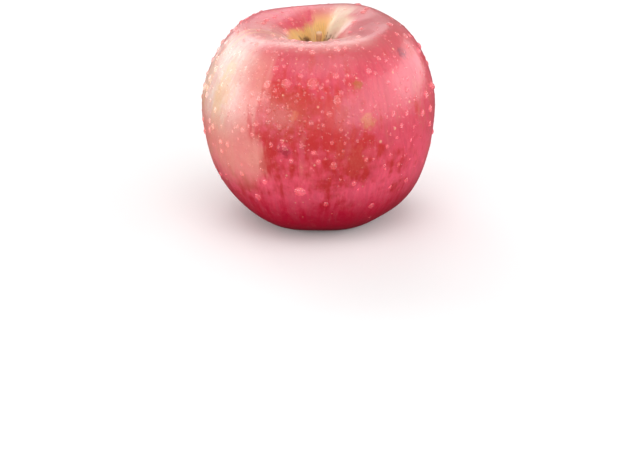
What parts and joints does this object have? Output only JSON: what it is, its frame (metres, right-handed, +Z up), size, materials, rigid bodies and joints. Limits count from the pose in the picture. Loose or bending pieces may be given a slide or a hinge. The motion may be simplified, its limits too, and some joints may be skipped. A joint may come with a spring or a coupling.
{
  "type": "fuji apple",
  "caption": "Whole round fruit as picked, with a clipped stem in a deep cavity above and a dried calyx in a basin below, resting on the flat spots of its low ribs.",
  "frame": {"origin": "under the middle of the fruit, on the surface that it rests on", "axes": "+Z up along the core, from the calyx to the stem; -Y towards the low saddle of the shoulder, the side that the picture shows"},
  "size_m": [0.0852, 0.0858, 0.0733],
  "materials": {
    "skin": "satin",
    "stem_wood": "matte",
    "dried_calyx": "matte",
    "water": "gloss"
  },
  "bodies": {
    "root": {"apple_body": "skin", "stem": "stem_wood", "calyx": "dried_calyx"}
  },
  "joints": []
}
